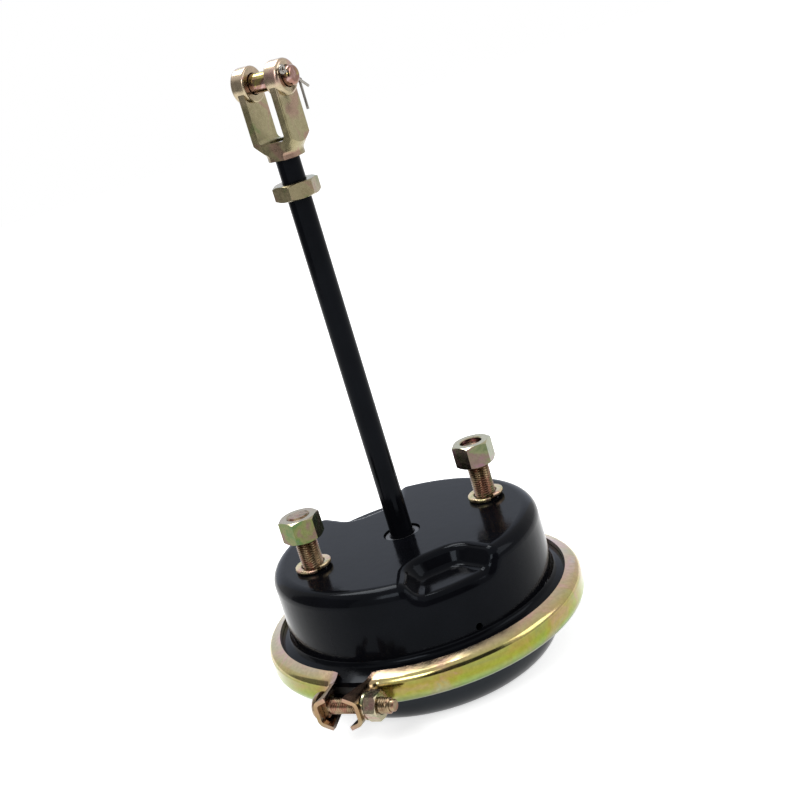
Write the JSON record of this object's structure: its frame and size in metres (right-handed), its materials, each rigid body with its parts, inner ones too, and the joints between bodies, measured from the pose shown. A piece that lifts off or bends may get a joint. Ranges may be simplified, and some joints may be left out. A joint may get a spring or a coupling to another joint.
{
  "type": "air brake chamber",
  "caption": "Single-diaphragm air brake chamber: compressed air pushes a diaphragm and plate, which drive a long push rod and clevis; two studs mount it to a bracket.",
  "frame": {"origin": "centre of the mounting face, on the push rod's axis", "axes": "+Z along the push rod from the mounting face to the clevis; +X through the centres of the two studs"},
  "size_m": [0.206, 0.2081, 0.3949],
  "materials": {
    "black_paint": "glossy black enamel on pressed and drawn steel",
    "yellow_zinc": "yellow chromated zinc plate with a pink and green iridescence",
    "bright_steel": "drawn steel wire, plain zinc",
    "spring_steel": "dark coated spring wire",
    "black_rubber": "moulded fabric-reinforced rubber",
    "guide_plastic": "moulded nylon"
  },
  "bodies": {
    "chamber": {"non_pressure_housing": "black_paint", "pressure_cover": "black_paint", "diaphragm": "black_rubber", "rod_guide": "guide_plastic", "stud_backing_left": "black_paint", "stud_backing_right": "black_paint", "mounting_stud_left": "yellow_zinc", "mounting_stud_right": "yellow_zinc", "lock_washer_left": "yellow_zinc", "lock_washer_right": "yellow_zinc", "clamp_band": "yellow_zinc", "clamp_bolt": "yellow_zinc", "clamp_washer": "yellow_zinc", "port_plug": "yellow_zinc", "return_spring": "spring_steel"},
    "push_rod": {"push_rod": "black_paint", "push_plate": "black_paint"},
    "jam_nut": {"jam_nut": "yellow_zinc"},
    "clevis": {"clevis": "yellow_zinc"},
    "clevis_pin": {"clevis_pin": "yellow_zinc", "cotter_pin": "bright_steel"},
    "stud_nut_left": {"stud_nut_left": "yellow_zinc"},
    "stud_nut_right": {"stud_nut_right": "yellow_zinc"},
    "clamp_nut": {"clamp_nut": "yellow_zinc"}
  },
  "joints": [
    {"name": "rod_stroke", "type": "slide", "parent": "chamber", "child": "push_rod", "axis": [0, 0, 1], "range_m": [0, 0.0635], "stiffness_N_per_m": 1500, "springref_m": -0.07, "deforming": ["return_spring", "diaphragm"]},
    {"name": "jam_nut_travel", "type": "slide", "parent": "push_rod", "child": "jam_nut", "axis": [0, 0, 1], "range_m": [-0.045, 0.0145]},
    {"name": "clevis_turn", "type": "hinge", "parent": "push_rod", "child": "clevis", "pos_m": [0, 0, 0.25], "axis": [0, 0, 1], "continuous": true},
    {"name": "clevis_pin_turn", "type": "hinge", "parent": "clevis", "child": "clevis_pin", "pos_m": [0, 0, 0.2915], "axis": [0.6428, -0.766, 0], "continuous": true},
    {"name": "stud_nut_left_travel", "type": "slide", "parent": "chamber", "child": "stud_nut_left", "axis": [0, 0, 1], "range_m": [-0.0165, 0.016]},
    {"name": "stud_nut_right_travel", "type": "slide", "parent": "chamber", "child": "stud_nut_right", "axis": [0, 0, 1], "range_m": [-0.0195, 0.0125]},
    {"name": "clamp_nut_travel", "type": "slide", "parent": "chamber", "child": "clamp_nut", "axis": [0.682, -0.7314, 0], "range_m": [0, 0.0175]}
  ]
}
